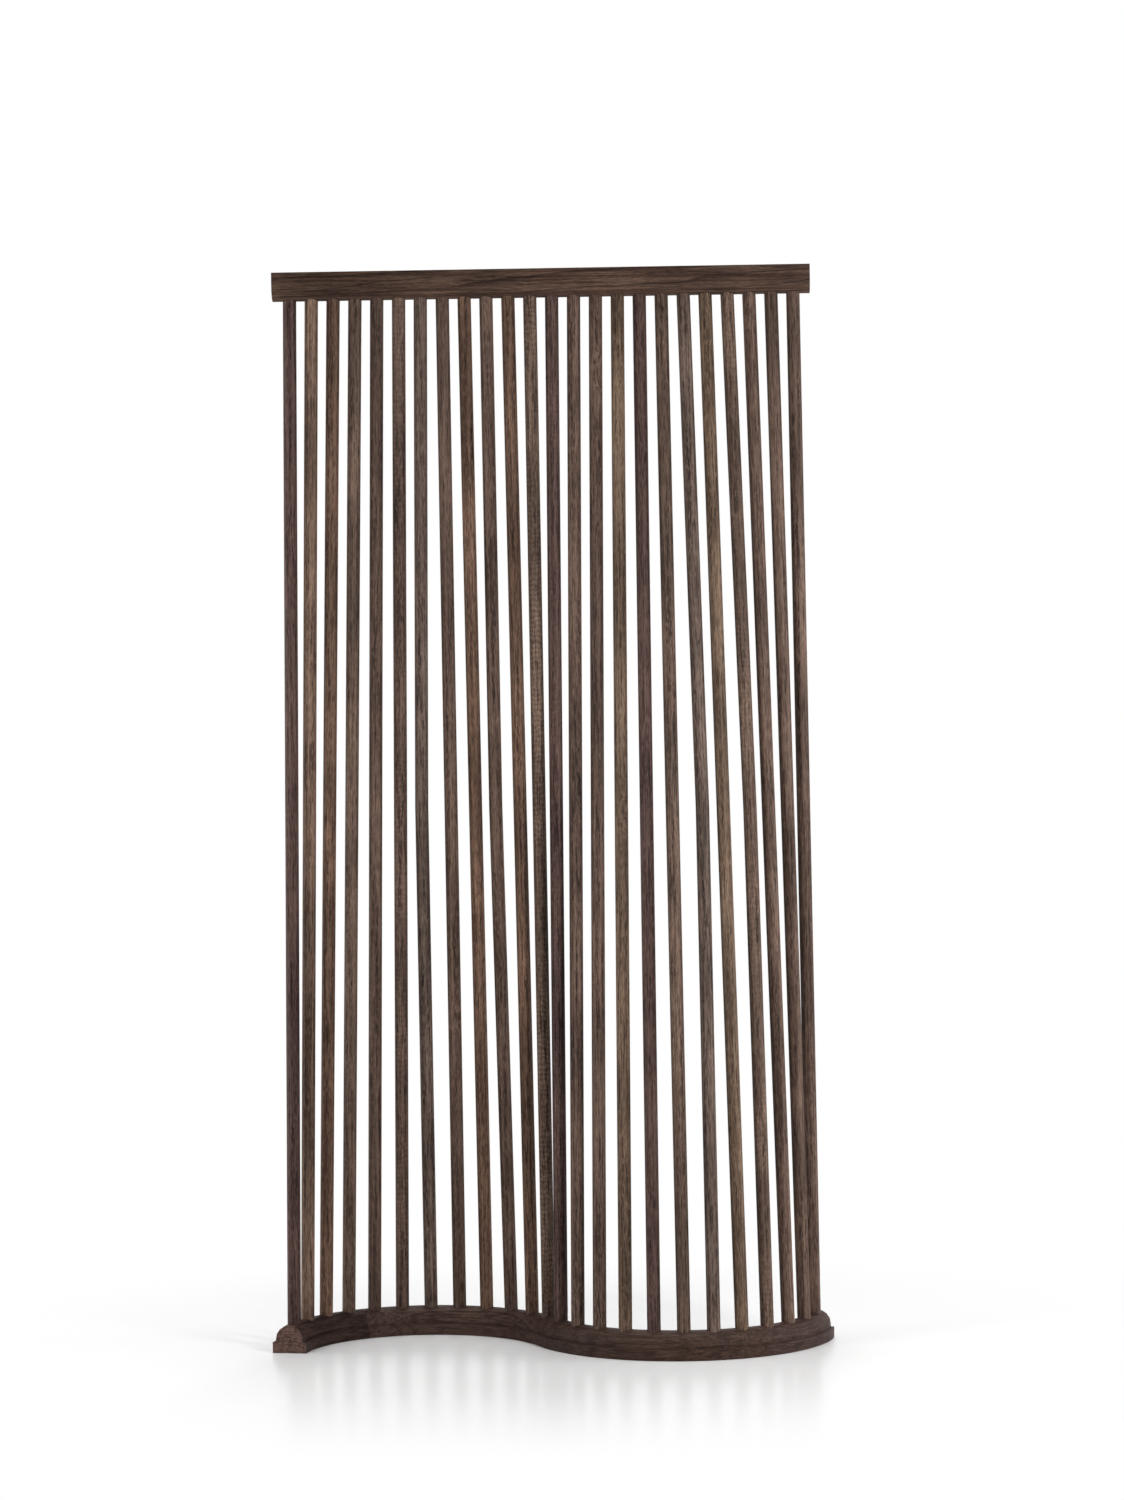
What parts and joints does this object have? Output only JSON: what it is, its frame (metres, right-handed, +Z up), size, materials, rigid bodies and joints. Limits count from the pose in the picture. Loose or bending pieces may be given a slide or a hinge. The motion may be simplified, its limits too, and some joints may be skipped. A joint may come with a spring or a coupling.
{
  "type": "spindle room divider",
  "caption": "Rigid free-standing room divider: a row of slender turned walnut spindles runs from a straight top rail down into an S-curved moulded base.",
  "frame": {"origin": "on the floor, at the middle of the S where the two arcs of the base meet, straight under the middle of the top rail", "axes": "+Z up, +X along the top rail to the viewer's right, +Y away from the viewer; the left arc of the base bulges to +Y and the right arc to -Y"},
  "size_m": [0.9392, 0.3328, 1.8],
  "materials": {
    "spindle_walnut": "satin oil",
    "rail_walnut": "satin oil",
    "base_walnut": "satin oil",
    "tenon_beech": "raw"
  },
  "bodies": {
    "root": {"spindle_01": "spindle_walnut", "spindle_02": "spindle_walnut", "spindle_03": "spindle_walnut", "spindle_04": "spindle_walnut", "spindle_05": "spindle_walnut", "spindle_06": "spindle_walnut", "spindle_07": "spindle_walnut", "spindle_08": "spindle_walnut", "spindle_09": "spindle_walnut", "spindle_10": "spindle_walnut", "spindle_11": "spindle_walnut", "spindle_12": "spindle_walnut", "spindle_13": "spindle_walnut", "spindle_14": "spindle_walnut", "spindle_15": "spindle_walnut", "spindle_16": "spindle_walnut", "spindle_17": "spindle_walnut", "spindle_18": "spindle_walnut", "spindle_19": "spindle_walnut", "spindle_20": "spindle_walnut", "spindle_21": "spindle_walnut", "spindle_22": "spindle_walnut", "spindle_23": "spindle_walnut", "spindle_24": "spindle_walnut", "top_rail": "rail_walnut", "base_left_end": "base_walnut", "base_left_arc": "base_walnut", "base_right_arc": "base_walnut", "base_right_end": "base_walnut", "tenon_left": "tenon_beech", "tenon_middle": "tenon_beech", "tenon_right": "tenon_beech"}
  },
  "joints": []
}
